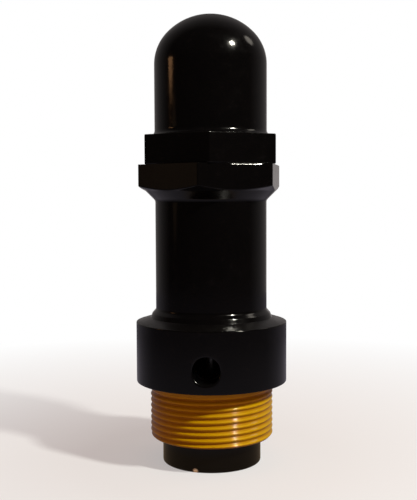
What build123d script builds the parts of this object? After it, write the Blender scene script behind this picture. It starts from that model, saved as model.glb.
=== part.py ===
from build123d import *
import math
import os

# Spring-loaded vacuum relief valve with a 1 1/2 inch male pipe thread.
# Atmosphere enters the radial holes in the collar and presses on the valve head.
# The head hangs on a stem under a seat in the end of the threaded nipple and opens
# downwards, into the vacuum line, when the pressure difference beats the spring.
# Millimetres, +Z up along the valve's axis, origin at the centre of the lowest face.
# The front (-Y) side is the one with an air hole facing the viewer.

# Outer form
THREAD_RADIUS = 47.8 / 2        # 1 1/2 inch parallel pipe thread, major diameter
THREAD_LENGTH = 21.4
COLLAR_RADIUS = 29.3
COLLAR_HEIGHT = 23.2
SHOULDER_ANGLE = 17.0           # slope of the collar's top, from horizontal
NECK_RADIUS = 21.6
FLARE_HEIGHT = 4.9              # neck's foot above the collar's rim
FLARE_ANGLE = 47.0              # cone under the neck's foot, from horizontal
FLARE_EDGE_RADIUS = 23.0        # where that cone turns into a steeper wall
FLARE_WALL_ANGLE = 68.0         # that wall, from horizontal, down to the shoulder
FLARE_FILLET = 1.0
HEX_FLATS = 50.8                # 2 inch across flats on the body
UNDER_HEX_CHAMFER_ANGLE = 22.0  # corners of the hexagon, from horizontal
CAP_HEX_FLATS = 48.9
CAP_HEX_HEIGHT = 11.1
CAP_RADIUS = 21.7
CAP_FILLET = 2.3
CROWN_RADIUS = 23.5             # top of the dome
DOME_CORNER_RADIUS = 17.1       # turn from the dome into the cap's side
EDGE_BREAK = 0.4
SAME_PLACE = 0.01               # tolerance when an edge is picked by its size or height
TOTAL_HEIGHT = 173.1

# Air holes
AIR_HOLE_RADIUS = 10.3 / 2
AIR_HOLE_COUNT = 2
DRILL_OVERRUN = 1.0             # past both faces of a wall
AIR_HOLE_RISE = 8.6             # hole centre above the collar's underside
BODY_HEX_TURN = -5.2            # degrees about the axis, from the front air hole
CAP_HEX_TURN = 3.0

# Valve head hanging below the nipple
HEAD_RADIUS = 19.2
HEAD_HEIGHT = 10.1
HEAD_TO_NIPPLE = 0.3            # closed gap between the head's rim and the nipple
SEAL_THICKNESS = 2.6
SEAL_RADIUS = 18.0
SEAL_PLATE_RADIUS = 12.5
SEAL_PLATE_THICKNESS = 2.0
SEAL_PLATE_BEVEL = 1.2
HEAD_RECESS_RADIUS = 10.5
HEAD_RECESS_DEPTH = 5.6

# Bores, from the bottom up
SEAT_BORE_RADIUS = 15.0
SEAT_OUTER_RADIUS = 18.4
SEAT_HEIGHT = 6.0
SEAT_LAND_INNER = 15.5
SEAT_LAND_OUTER = 16.6
SEAT_LAND_BEVEL = 0.4
SEAT_LAND_GAP = 0.02            # keeps the land and the seal as separate solids
GALLERY_RADIUS = 17.6
GALLERY_FLOOR_RISE = 1.4        # above the collar's underside
GALLERY_CONE_HEIGHT = 4.4       # cone from the gallery down to the seat's bore
SPIGOT_RADIUS = 21.5            # screwed end of the nipple inside the collar
SPIGOT_LENGTH = 16.4
SPIGOT_CHAMFER = 1.0
CHAMBER_RADIUS = 17.3           # spring chamber
WEB_BOTTOM_GAP = 0.6            # thread run-out above the nipple's spigot
WEB_TOP = 57.0                  # floor of the spring chamber
CAP_THREAD_RADIUS = 19.0
CAP_THREAD_DEPTH = 10.6
CAP_THREAD_RUNOUT = 0.4
CAP_SPIGOT_GAP = 0.6            # below the cap's spigot in its thread
CAP_JOIN = 1.0                  # how far the turned parts of the cap reach into its hexagon
SCREW_CLEARANCE = 0.05          # between parts that turn or slide on each other
THREAD_CHAMFER = 0.7

# Cap sealing ring
RING_SECTION_RADIUS = 0.93
RING_SIDES = 12
RING_RECESS_DEPTH = 2.1
RING_RECESS_RADIUS = 20.9
CAP_NECK_RADIUS = 18.95

# Hollow of the cap: a bore that ends in a cone under the dome
CAP_BORE_TOP = 153.0
CAP_CONE_RADIUS = 9.0
CAP_CONE_TOP = 166.0

# Stem and guide
STEM_RADIUS = 5.0
STEM_END_RADIUS = 4.0
STEM_END_RISE = 0.4             # lower end above the head's rim
STEM_CHAMFER = 0.8
STEM_TOP = 155.0                # leaves the split pin clear of the lock nut at its highest
STOP_COLLAR_RADIUS = 7.6
STOP_COLLAR_HEIGHT = 3.0
LIFT = 6.0                      # full travel of the valve head
BUSH_RADIUS = 8.0
BUSH_FLANGE_RADIUS = 11.0
BUSH_FLANGE_HEIGHT = 2.0
BUSH_DROP = 2.0                 # bush below the web

# Spring and its setting nuts
WIRE_RADIUS = 1.4
COIL_RADIUS = 13.6
SPRING_LENGTH = 60.0            # installed, at the shown setting
CLOSED_TURN_PITCH = 2.9
ACTIVE_TURNS = 7
TIP_SINK = 0.7                  # wire centre above the ground end face at the tip
FACETS_PER_TURN = 14
WIRE_SIDES = 8
WASHER_THICKNESS = 1.6
WASHER_INNER_RADIUS = 11.2
WASHER_OUTER_RADIUS = 16.6
PLATE_RADIUS = 15.9
PLATE_THICKNESS = 4.0
PLATE_BOSS_RADIUS = 11.5
PLATE_BOSS_HEIGHT = 4.0
PLATE_BOSS_CHAMFER = 1.0
THRUST_WASHER_RADIUS = 10.0
THRUST_WASHER_THICKNESS = 1.6
NUT_FLATS = 17.0                # M10
NUT_FACE_SHARE = 0.96           # chamfer circle on a nut's face, as a share of its flats
NUT_CHAMFER_ANGLE = 30.0
ADJUSTING_NUT_HEIGHT = 8.4
LOCK_WASHER_RADIUS = 9.0
LOCK_WASHER_THICKNESS = 2.0
LOCK_NUT_HEIGHT = 5.0
WASHER_SLOT = 1.2               # gap of a split washer
WASHER_SLOT_TURN = 20.0         # slope of that gap in the washer's plane
HEAD_NUT_FLATS = 13.0           # M8, thin
HEAD_NUT_HEIGHT = 3.8
HEAD_WASHER_RADIUS = 7.4
HEAD_WASHER_THICKNESS = 1.5
PIN_RADIUS = 1.0                # split pin through the stem's top
PIN_DROP = 4.0                  # below the stem's top
PIN_REACH = 8.0
PIN_EYE_RADIUS = 1.9
PIN_THICKNESS = 1.6
PIN_LEG_SPAN = 7.0

# Heights worked out from the above
NIPPLE_END = HEAD_HEIGHT + HEAD_TO_NIPPLE
COLLAR_BOTTOM = NIPPLE_END + THREAD_LENGTH
COLLAR_TOP = COLLAR_BOTTOM + COLLAR_HEIGHT
AIR_HOLE_Z = COLLAR_BOTTOM + AIR_HOLE_RISE
GALLERY_FLOOR = COLLAR_BOTTOM + GALLERY_FLOOR_RISE
HEX_BOTTOM = 102.0              # where the cone under the body hexagon leaves the neck
HEX_TOP = 115.6
CAP_HEX_TOP = HEX_TOP + CAP_HEX_HEIGHT
WEB_BOTTOM = COLLAR_BOTTOM + SPIGOT_LENGTH + WEB_BOTTOM_GAP
BUSH_TOP = WEB_TOP + BUSH_FLANGE_HEIGHT
SPRING_BOTTOM = WEB_TOP + WASHER_THICKNESS
SPRING_TOP = SPRING_BOTTOM + SPRING_LENGTH
PLATE_TOP = SPRING_TOP + PLATE_THICKNESS
NUT_BOTTOM = PLATE_TOP + THRUST_WASHER_THICKNESS
LOCK_WASHER_BOTTOM = NUT_BOTTOM + ADJUSTING_NUT_HEIGHT
LOCK_NUT_BOTTOM = LOCK_WASHER_BOTTOM + LOCK_WASHER_THICKNESS


def ring(outer, inner, bottom, top):
    """A plain washer or tube about the axis."""
    tube = Cylinder(outer, top - bottom, align=(Align.CENTER, Align.CENTER, Align.MIN))
    if inner:
        tube -= Cylinder(inner, top - bottom, align=(Align.CENTER, Align.CENTER, Align.MIN))
    return Pos(0, 0, bottom) * tube


def turned(points):
    """A closed outline of (radius, height) points, turned about the axis."""
    outline = Polyline(*[(radius, 0, height) for radius, height in points], close=True)
    return revolve(make_face(outline), Axis.Z)


def hexagon(flats, bottom, top, turn=0.0):
    """An upright hexagonal bar whose corner faces the front before it is turned."""
    corner_at_front = Rot(0, 0, turn + 30) * RegularPolygon(flats / 2, 6, major_radius=False)
    return Pos(0, 0, bottom) * extrude(corner_at_front, top - bottom)


def nut(flats, bore, bottom, height):
    """A hexagon nut with both faces chamfered to a circle."""
    corner = flats / math.sqrt(3)
    face = flats / 2 * NUT_FACE_SHARE
    fall = (corner - face) * math.tan(math.radians(NUT_CHAMFER_ANGLE))
    envelope = turned([
        (0, bottom), (face, bottom), (corner, bottom + fall),
        (corner, bottom + height - fall), (face, bottom + height), (0, bottom + height),
    ])
    return (envelope & hexagon(flats, bottom, bottom + height)) - ring(bore, 0, bottom, bottom + height)


def dome_outline(side_radius, crown_radius, corner_radius, top, bottom):
    """Half outline of a domed cylinder: crown arc, corner arc, straight side."""
    crown_centre = top - crown_radius
    corner_x = side_radius - corner_radius
    corner_z = crown_centre + math.sqrt((crown_radius - corner_radius) ** 2 - corner_x ** 2)
    meet = math.atan2(corner_z - crown_centre, corner_x)
    half = (math.pi / 2 + meet) / 2
    crown = ThreePointArc(
        (0, 0, top),
        (crown_radius * math.cos(half), 0, crown_centre + crown_radius * math.sin(half)),
        (crown_radius * math.cos(meet), 0, crown_centre + crown_radius * math.sin(meet)),
    )
    corner = ThreePointArc(
        crown @ 1,
        (corner_x + corner_radius * math.cos(meet / 2), 0, corner_z + corner_radius * math.sin(meet / 2)),
        (side_radius, 0, corner_z),
    )
    side = Polyline((side_radius, 0, corner_z), (side_radius, 0, bottom), (0, 0, bottom), (0, 0, top))
    return revolve(make_face(Curve() + [crown, corner, side]), Axis.Z)


def collar_and_neck():
    """Collar, sloping shoulder, two-step flare and neck as one turned form."""
    shoulder = math.tan(math.radians(SHOULDER_ANGLE))
    wall = math.tan(math.radians(FLARE_WALL_ANGLE))
    neck_foot = COLLAR_TOP + FLARE_HEIGHT
    edge = neck_foot - (FLARE_EDGE_RADIUS - NECK_RADIUS) * math.tan(math.radians(FLARE_ANGLE))
    shoulder_at_edge = COLLAR_TOP + (COLLAR_RADIUS - FLARE_EDGE_RADIUS) * shoulder
    foot_radius = FLARE_EDGE_RADIUS + (edge - shoulder_at_edge) / (wall - shoulder)
    foot = COLLAR_TOP + (COLLAR_RADIUS - foot_radius) * shoulder
    lower = Polyline(
        (0, 0, COLLAR_BOTTOM), (COLLAR_RADIUS, 0, COLLAR_BOTTOM),
        (COLLAR_RADIUS, 0, COLLAR_TOP), (foot_radius, 0, foot),
    )
    flare = FilletPolyline(
        (foot_radius, 0, foot), (FLARE_EDGE_RADIUS, 0, edge), (NECK_RADIUS, 0, neck_foot),
        (NECK_RADIUS, 0, HEX_BOTTOM), radius=FLARE_FILLET,
    )
    upper = Polyline(
        (NECK_RADIUS, 0, HEX_BOTTOM), (NECK_RADIUS, 0, HEX_TOP), (0, 0, HEX_TOP), (0, 0, COLLAR_BOTTOM),
    )
    blank = revolve(make_face(Curve() + [lower, flare, upper]), Axis.Z)
    rims = blank.edges().filter_by(GeomType.CIRCLE).filter_by(
        lambda rim: rim.radius > COLLAR_RADIUS - SAME_PLACE)
    return chamfer(rims, EDGE_BREAK)


def body_hexagon():
    """The wrench hexagon with the cone and the corner chamfer under it."""
    half_flats = HEX_FLATS / 2
    corner = HEX_FLATS / math.sqrt(3)
    cone_top = HEX_BOTTOM + half_flats - NECK_RADIUS
    corner_z = cone_top + (corner - half_flats) * math.tan(math.radians(UNDER_HEX_CHAMFER_ANGLE))
    blank = turned([
        (0, HEX_BOTTOM), (NECK_RADIUS, HEX_BOTTOM), (half_flats, cone_top),
        (corner, corner_z), (corner, HEX_TOP), (0, HEX_TOP),
    ])
    bar = hexagon(HEX_FLATS, HEX_BOTTOM, HEX_TOP, BODY_HEX_TURN)
    bar = chamfer(bar.edges().group_by(Axis.Z)[-1], EDGE_BREAK)
    return blank & bar


def air_holes(inner):
    """Radial drillings from outside the collar to just inside the given radius."""
    start = inner - DRILL_OVERRUN
    reach = COLLAR_RADIUS + DRILL_OVERRUN - start
    drill = Cylinder(AIR_HOLE_RADIUS, reach, align=(Align.CENTER, Align.CENTER, Align.MIN))
    front = Pos(0, -start, AIR_HOLE_Z) * Rot(90, 0, 0) * drill
    return [Rot(0, 0, 360 / AIR_HOLE_COUNT * i) * front for i in range(AIR_HOLE_COUNT)]


def body():
    solid = collar_and_neck() + body_hexagon()
    solid -= ring(SPIGOT_RADIUS, 0, COLLAR_BOTTOM, WEB_BOTTOM)
    solid -= ring(BUSH_RADIUS, 0, WEB_BOTTOM, WEB_TOP)
    solid -= ring(CHAMBER_RADIUS, 0, WEB_TOP, HEX_TOP)
    solid -= ring(CAP_THREAD_RADIUS + SCREW_CLEARANCE, 0, HEX_TOP - CAP_THREAD_DEPTH, HEX_TOP)
    solid -= ring(RING_RECESS_RADIUS, 0, HEX_TOP - RING_RECESS_DEPTH, HEX_TOP)
    for hole in air_holes(SPIGOT_RADIUS):
        solid -= hole
    return solid


def nipple():
    """Threaded end with the seat pocket below and the drilled, screwed spigot above."""
    spigot_top = COLLAR_BOTTOM + SPIGOT_LENGTH
    solid = turned([
        (SEAT_OUTER_RADIUS, NIPPLE_END), (THREAD_RADIUS - THREAD_CHAMFER, NIPPLE_END),
        (THREAD_RADIUS, NIPPLE_END + THREAD_CHAMFER), (THREAD_RADIUS, COLLAR_BOTTOM),
        (SPIGOT_RADIUS, COLLAR_BOTTOM), (SPIGOT_RADIUS, spigot_top - SPIGOT_CHAMFER),
        (SPIGOT_RADIUS - SPIGOT_CHAMFER, spigot_top), (GALLERY_RADIUS, spigot_top),
        (GALLERY_RADIUS, GALLERY_FLOOR), (SEAT_BORE_RADIUS, GALLERY_FLOOR - GALLERY_CONE_HEIGHT),
        (SEAT_BORE_RADIUS, NIPPLE_END + SEAT_HEIGHT), (SEAT_OUTER_RADIUS, NIPPLE_END + SEAT_HEIGHT),
    ])
    for hole in air_holes(GALLERY_RADIUS):
        solid -= hole
    return solid


def valve_seat():
    """Pressed-in seat ring with a narrow raised land facing the seal."""
    land = HEAD_HEIGHT + SEAT_LAND_GAP
    return turned([
        (SEAT_BORE_RADIUS, NIPPLE_END), (SEAT_LAND_INNER, land), (SEAT_LAND_OUTER, land),
        (SEAT_LAND_OUTER + SEAT_LAND_BEVEL, NIPPLE_END), (SEAT_OUTER_RADIUS, NIPPLE_END),
        (SEAT_OUTER_RADIUS, NIPPLE_END + SEAT_HEIGHT), (SEAT_BORE_RADIUS, NIPPLE_END + SEAT_HEIGHT),
    ])


def valve_head():
    """Cup that holds the soft seal on top and hides the stem's nut below."""
    return turned([
        (STEM_END_RADIUS, HEAD_RECESS_DEPTH), (HEAD_RECESS_RADIUS, HEAD_RECESS_DEPTH),
        (HEAD_RECESS_RADIUS, EDGE_BREAK), (HEAD_RECESS_RADIUS + EDGE_BREAK, 0),
        (HEAD_RADIUS - EDGE_BREAK, 0), (HEAD_RADIUS, EDGE_BREAK),
        (HEAD_RADIUS, HEAD_HEIGHT - EDGE_BREAK), (HEAD_RADIUS - EDGE_BREAK, HEAD_HEIGHT),
        (SEAL_RADIUS, HEAD_HEIGHT), (SEAL_RADIUS, HEAD_HEIGHT - SEAL_THICKNESS),
        (STEM_END_RADIUS, HEAD_HEIGHT - SEAL_THICKNESS),
    ])


def seal_disc():
    return ring(SEAL_RADIUS, STEM_END_RADIUS, HEAD_HEIGHT - SEAL_THICKNESS, HEAD_HEIGHT)


def seal_plate():
    """Clamps the inner part of the seal; its upper edge is bevelled for the air flow."""
    top = HEAD_HEIGHT + SEAL_PLATE_THICKNESS
    return turned([
        (STEM_END_RADIUS, HEAD_HEIGHT), (SEAL_PLATE_RADIUS, HEAD_HEIGHT),
        (SEAL_PLATE_RADIUS, top - SEAL_PLATE_BEVEL), (SEAL_PLATE_RADIUS - SEAL_PLATE_BEVEL, top),
        (STEM_END_RADIUS, top),
    ])


def stem():
    """Turned stem: M8 end below, guided shank, lift stop, M10 end above with a pin hole."""
    shoulder = HEAD_HEIGHT + SEAL_PLATE_THICKNESS
    stop = BUSH_TOP + LIFT
    solid = turned([
        (0, STEM_END_RISE), (STEM_END_RADIUS - STEM_CHAMFER / 2, STEM_END_RISE),
        (STEM_END_RADIUS, STEM_END_RISE + STEM_CHAMFER / 2),
        (STEM_END_RADIUS, shoulder), (STEM_RADIUS, shoulder), (STEM_RADIUS, stop),
        (STOP_COLLAR_RADIUS, stop), (STOP_COLLAR_RADIUS, stop + STOP_COLLAR_HEIGHT),
        (STEM_RADIUS, stop + STOP_COLLAR_HEIGHT), (STEM_RADIUS, STEM_TOP - STEM_CHAMFER),
        (STEM_RADIUS - STEM_CHAMFER, STEM_TOP), (0, STEM_TOP),
    ])
    pin_hole = Pos(0, 0, STEM_TOP - PIN_DROP) * Rot(0, 90, 0) * Cylinder(PIN_RADIUS, 4 * STEM_RADIUS)
    return solid - pin_hole


def split_pin():
    """Split pin: round shank through the stem, an eye at one side, legs bent at the other."""
    shank = Rot(0, 90, 0) * Cylinder(PIN_RADIUS, 2 * PIN_REACH)
    half = PIN_THICKNESS / 2
    eye = ring(PIN_EYE_RADIUS + half, PIN_EYE_RADIUS - half, -half, half)
    eye = Pos(-PIN_REACH - PIN_EYE_RADIUS, 0, 0) * Rot(90, 0, 0) * eye
    legs = Pos(PIN_REACH - half, 0, 0) * Box(PIN_THICKNESS, PIN_THICKNESS, PIN_LEG_SPAN)
    return Pos(0, 0, STEM_TOP - PIN_DROP) * (shank + eye + legs)


def guide_bush():
    """Flanged bronze bush pressed into the web; its flange centres the spring."""
    return turned([
        (STEM_RADIUS + SCREW_CLEARANCE, WEB_BOTTOM - BUSH_DROP), (BUSH_RADIUS, WEB_BOTTOM - BUSH_DROP),
        (BUSH_RADIUS, WEB_TOP), (BUSH_FLANGE_RADIUS, WEB_TOP), (BUSH_FLANGE_RADIUS, BUSH_TOP),
        (STEM_RADIUS + SCREW_CLEARANCE, BUSH_TOP),
    ])


def spring_height(turns):
    """Height of the wire's centre after this many turns: closed, open, then closed again."""
    open_rise = SPRING_LENGTH - 2 * TIP_SINK - 2 * CLOSED_TURN_PITCH
    open_share = min(max((turns - 1) / ACTIVE_TURNS, 0.0), 1.0)
    closed_turns = min(turns, 1.0) + max(turns - 1 - ACTIVE_TURNS, 0.0)
    return SPRING_BOTTOM + TIP_SINK + CLOSED_TURN_PITCH * closed_turns + open_rise * open_share


def spring():
    """Compression spring with closed ends, ground flat, bent from short straight facets of wire."""
    path = Polyline(*[
        (
            COIL_RADIUS * math.cos(2 * math.pi * i / FACETS_PER_TURN),
            COIL_RADIUS * math.sin(2 * math.pi * i / FACETS_PER_TURN),
            spring_height(i / FACETS_PER_TURN),
        )
        for i in range((ACTIVE_TURNS + 2) * FACETS_PER_TURN + 1)
    ])
    section = Plane(path @ 0, z_dir=path % 0) * RegularPolygon(WIRE_RADIUS, WIRE_SIDES)
    wire = sweep(section, path=path, transition=Transition.RIGHT)
    return wire & ring(COIL_RADIUS + 3 * WIRE_RADIUS, 0, SPRING_BOTTOM, SPRING_TOP)


def spring_washer():
    return ring(WASHER_OUTER_RADIUS, WASHER_INNER_RADIUS, WEB_TOP, SPRING_BOTTOM)


def spring_plate():
    """Upper spring plate: flange above, boss inside the coil, sliding on the stem."""
    bore = STEM_RADIUS + SCREW_CLEARANCE
    boss_bottom = SPRING_TOP - PLATE_BOSS_HEIGHT
    return turned([
        (bore, boss_bottom), (PLATE_BOSS_RADIUS - PLATE_BOSS_CHAMFER, boss_bottom),
        (PLATE_BOSS_RADIUS, boss_bottom + PLATE_BOSS_CHAMFER), (PLATE_BOSS_RADIUS, SPRING_TOP),
        (PLATE_RADIUS, SPRING_TOP), (PLATE_RADIUS, PLATE_TOP), (bore, PLATE_TOP),
    ])


def thrust_washer():
    return ring(THRUST_WASHER_RADIUS, STEM_RADIUS + SCREW_CLEARANCE, PLATE_TOP, NUT_BOTTOM)


def adjusting_nut():
    return nut(NUT_FLATS, STEM_RADIUS + SCREW_CLEARANCE, NUT_BOTTOM, ADJUSTING_NUT_HEIGHT)


def split_washer(radius, bore, bottom, thickness):
    """Split spring washer, drawn flat, with its slot."""
    slot = Box(2 * radius, WASHER_SLOT, 2 * thickness)
    slot = Pos(radius, 0, bottom + thickness / 2) * Rot(0, 0, WASHER_SLOT_TURN) * slot
    return ring(radius, bore, bottom, bottom + thickness) - slot


def lock_washer():
    bore = STEM_RADIUS + SCREW_CLEARANCE
    return split_washer(LOCK_WASHER_RADIUS, bore, LOCK_WASHER_BOTTOM, LOCK_WASHER_THICKNESS)


def lock_nut():
    return nut(NUT_FLATS, STEM_RADIUS + SCREW_CLEARANCE, LOCK_NUT_BOTTOM, LOCK_NUT_HEIGHT)


def head_washer():
    bottom = HEAD_RECESS_DEPTH - HEAD_WASHER_THICKNESS
    return split_washer(HEAD_WASHER_RADIUS, STEM_END_RADIUS, bottom, HEAD_WASHER_THICKNESS)


def head_nut():
    bottom = HEAD_RECESS_DEPTH - HEAD_WASHER_THICKNESS - HEAD_NUT_HEIGHT
    return nut(HEAD_NUT_FLATS, STEM_END_RADIUS, bottom, HEAD_NUT_HEIGHT)


def cap_seal_ring():
    """O-ring between the cap's neck and the recess in the body's top."""
    middle = (RING_RECESS_RADIUS + CAP_NECK_RADIUS) / 2
    place = Plane((middle, 0, HEX_TOP - RING_RECESS_DEPTH / 2), x_dir=(1, 0, 0), z_dir=(0, -1, 0))
    return revolve(place * RegularPolygon(RING_SECTION_RADIUS, RING_SIDES), Axis.Z)


def cap():
    """Domed cap: hexagon, screwed spigot below it, hollow with an even wall."""
    inside_hexagon = HEX_TOP + CAP_JOIN
    outside = dome_outline(CAP_RADIUS, CROWN_RADIUS, DOME_CORNER_RADIUS, TOTAL_HEIGHT, inside_hexagon)
    bar = hexagon(CAP_HEX_FLATS, HEX_TOP, CAP_HEX_TOP, CAP_HEX_TURN)
    bar = chamfer(bar.edges().filter_by(Plane.XY), EDGE_BREAK)
    outside += bar
    joint = outside.edges().filter_by(GeomType.CIRCLE).filter_by(
        lambda corner: abs(corner.center().Z - CAP_HEX_TOP) < SAME_PLACE)
    outside = fillet(joint, CAP_FILLET)
    spigot_bottom = HEX_TOP - CAP_THREAD_DEPTH + CAP_SPIGOT_GAP
    neck_bottom = HEX_TOP - RING_RECESS_DEPTH
    outside += turned([
        (0, spigot_bottom), (CAP_THREAD_RADIUS - THREAD_CHAMFER, spigot_bottom),
        (CAP_THREAD_RADIUS, spigot_bottom + THREAD_CHAMFER),
        (CAP_THREAD_RADIUS, neck_bottom - CAP_THREAD_RUNOUT),
        (CAP_NECK_RADIUS, neck_bottom), (CAP_NECK_RADIUS, inside_hexagon), (0, inside_hexagon),
    ])
    hollow = turned([
        (0, spigot_bottom), (CHAMBER_RADIUS, spigot_bottom), (CHAMBER_RADIUS, CAP_BORE_TOP),
        (CAP_CONE_RADIUS, CAP_CONE_TOP), (0, CAP_CONE_TOP),
    ])
    return outside - hollow


SUB_PARTS = [
    body, nipple, valve_seat, guide_bush, spring_washer, spring,
    valve_head, seal_disc, seal_plate, stem, head_washer, head_nut, split_pin,
    spring_plate, thrust_washer, adjusting_nut, lock_washer, lock_nut,
    cap_seal_ring, cap,
]

os.makedirs("parts", exist_ok=True)
for make in SUB_PARTS:
    solid = make()
    solid.label = make.__name__
    export_step(solid, f"parts/{make.__name__}.step")
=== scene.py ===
"""Looks of a spring-loaded vacuum relief valve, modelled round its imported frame.

Sizes in this file are in millimetres until a mesh is made, and metres after that.
"""
import math
from functools import partial

import bmesh
import bpy
from mathutils import Matrix


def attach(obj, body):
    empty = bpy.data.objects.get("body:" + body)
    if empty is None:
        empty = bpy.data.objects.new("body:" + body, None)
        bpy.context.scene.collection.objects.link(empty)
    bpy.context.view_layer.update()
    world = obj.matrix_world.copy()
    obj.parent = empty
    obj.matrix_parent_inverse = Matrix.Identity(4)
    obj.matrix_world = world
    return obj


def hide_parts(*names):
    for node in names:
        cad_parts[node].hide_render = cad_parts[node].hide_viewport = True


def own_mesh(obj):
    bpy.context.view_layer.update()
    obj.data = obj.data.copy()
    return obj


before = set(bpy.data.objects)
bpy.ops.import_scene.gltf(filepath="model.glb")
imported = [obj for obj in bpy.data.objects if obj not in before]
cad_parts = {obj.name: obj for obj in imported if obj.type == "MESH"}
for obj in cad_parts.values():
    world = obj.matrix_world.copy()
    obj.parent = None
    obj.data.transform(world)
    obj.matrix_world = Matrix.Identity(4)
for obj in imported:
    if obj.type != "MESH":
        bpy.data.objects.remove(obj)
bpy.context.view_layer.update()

# Metres in a millimetre, and the gap below which two points become one
MM = 0.001
SAME = 1e-4

# Collar, neck and hexagon of the body
COLLAR = 29.3
COLLAR_BOTTOM = 31.8
COLLAR_TOP = 55.0
COLLAR_RIM = 0.35
SHOULDER_FOOT = (23.68, 56.72)
FLARE_EDGE = (23.0, 58.4)
NECK = 21.6
NECK_FOOT = 59.9
NECK_MIDDLE = 80.0
HEX_FLATS = 50.8
HEX_TURN = -5.2
HEX_BOTTOM = 102.0
HEX_TOP = 115.6
CONE_TOP = HEX_BOTTOM + HEX_FLATS / 2 - NECK
CONE_FIRST_ROW = 100.9
CONE_ROWS = 40
CONE_ROW_STEP = 0.2
UNDER_HEX_SLOPE = math.tan(math.radians(22))
PAINT_EDGE = 0.42
CHAMBER = 17.3
WEB_BOTTOM = 48.8
WEB_TOP = 57.0
BUSH = 8.0
CAP_THREAD = 19.0
CAP_PITCH = 1.5
CAP_THREAD_FOOT = 105.0
RING_RECESS = 20.9
RING_RECESS_FLOOR = 113.5

# The stretch where the hexagon's upper edge is worn, and its run-out, in degrees round the axis from +X
LIP_ENDS = (-71.5, -40.5)
LIP_RUN_OUT = 2.0
LIP_FALL = 0.62
LIP_WIDTH = 0.3
LIP_WAVE = 0.12
LIP_WAVES = 50
UNWORN = 0.004

# Air holes
HOLE_RADIUS = 5.15
HOLE_HEIGHT = 40.4
HOLE_LIPS = (0.55, 0.15)
HOLE_WINDOW = 7.2
HOLE_ROWS = 12
HOLE_DIRECTIONS = (-90.0, 90.0)
HOLE_WINDOW_ENDS = (HOLE_HEIGHT - HOLE_WINDOW, HOLE_HEIGHT + HOLE_WINDOW)

# Cap
CAP_SIDE = 21.7
CAP_FLATS = 48.9
CAP_TURN = 3.0
CAP_HEX_TOP = 126.7
CAP_HEX_FACE = 20.5
CAP_RIM = 0.9
CAP_RIM_DRAW = 0.08
CAP_RIM_WAVE = 0.05
CAP_RIM_WAVES = 60
CAP_FILLET = 2.3
CAP_SPIGOT_BOTTOM = CAP_THREAD_FOOT + 0.6
CAP_SPIGOT_CHAMFER = 0.7
CAP_THREAD_END = RING_RECESS_FLOOR - 0.4
CAP_BORE_TOP = 153.0
CAP_ROOF = (9.0, 166.0)
CROWN = 23.5
DOME_CORNER = 17.1
TOP = 173.1

# Threaded nipple
THREAD = 23.9
THREAD_PITCH = 25.4 / 11
THREAD_DEPTH = 0.82
THREAD_CHAMFER = 0.75
THREAD_SHARPNESS = 1.15
THREAD_FULL_AT = 28.2
THREAD_GONE_AT = 30.2
ROWS_PER_TURN = 14
NIPPLE_END = 10.4
NIPPLE_FACE = 21.0
SPIGOT = 21.5
SPIGOT_TOP = 48.2
SPIGOT_CHAMFER = 0.6
GALLERY = 17.6
GALLERY_TAPER_FOOT = 28.8
SEAT_BORE = 15.0
SEAT_OUTER = 18.4
SEAT_TOP = 16.4
SEAT_LAND = (15.5, 16.6)
SEAT_LAND_BEVEL = 0.4

# Head, seal and what holds them
HEAD = 19.2
HEAD_TOP = 10.1
HEAD_RECESS = 10.5
HEAD_RECESS_ROOF = 5.6
SEAL = 18.0
SEAL_BOTTOM = 7.5
SEAL_DENT = 0.12
SEAL_DENT_REACH = 1.0
SEAL_GAP = 0.02
SEAL_PLATE = 12.5
SEAL_PLATE_TOP = 12.1
SEAL_PLATE_BEVEL = 1.2
HEAD_WASHER = 7.4
HEAD_WASHER_BOTTOM = 4.1
HEAD_NUT_FLATS = 13.0
HEAD_NUT_BOTTOM = 0.3

# Stem and split pin
STEM = 5.0
STEM_PITCH = 1.5
STEM_THREAD_FOOT = 112.0
STEM_TOP = 155.0
STEM_CHAMFER = 0.8
STEM_END = 4.0
STEM_END_PITCH = 1.25
STEM_END_RISE = 0.4
STEM_END_THREAD_TOP = 8.0
STEM_ROW = 0.12
STOP = 7.6
STOP_BOTTOM = 65.0
STOP_TOP = 68.0
RUNNING_GAP = 0.05
PIN_HEIGHT = 151.0
PIN_WIRE = 0.95
PIN_EYE = 1.35
PIN_EYE_CENTRE = -9.7
PIN_BEND = 7.85
PIN_BEND_RADIUS = 1.2
PIN_LEG = 3.4
PIN_GAP = 0.02
PIN_BEND_ANGLES = (0.0, 0.4, 0.8, 1.2, 1.57)
PIN_STRAIGHT = (5.0, 2.0, -1.0, -4.0, -6.5)
PIN_EYE_MOUTH = math.acos(0.45)
PIN_EYE_STEPS = 24
WIRE_STEPS = 8

# Bush, spring and plates
BUSH_BOTTOM = 46.8
BUSH_FLANGE = 11.0
BUSH_TOP = 58.97
SPRING_WASHER = (11.2, 16.6)
SPRING_BOTTOM = 58.6
SPRING_TOP = 118.6
COIL = 13.6
WIRE = 1.4
SPRING_TURNS = 9
CLOSED_PITCH = 2.9
TIP_SINK = 0.7
PLATE = 15.9
PLATE_TOP = 122.6
PLATE_BOSS = 11.5
PLATE_BOSS_BOTTOM = 114.6
PLATE_BOSS_BEVEL = 1.0

# Nuts and washers on the stem's upper end
THRUST_WASHER = 10.0
NUT_FLATS = 17.0
NUT_BOTTOM = 124.2
NUT_FACE_SHARE = 0.96
NUT_CHAMFER = math.tan(math.radians(30))
NUT_COUNTERSINK = 0.7
LOCK_WASHER = 9.0
LOCK_WASHER_BOTTOM = 132.6
LOCK_NUT_BOTTOM = 134.6
LOCK_NUT_TOP = 139.6
WASHER_SLOT = 1.2
WASHER_SLOT_TURN = 20.0
WASHER_STEPS = 72

# O-ring between cap and body
RING_MIDDLE = 19.925
RING_SECTION = 0.93
RING_HEIGHT = 114.55
RING_SIDES = 20
RING_FLASH = 0.03

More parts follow.
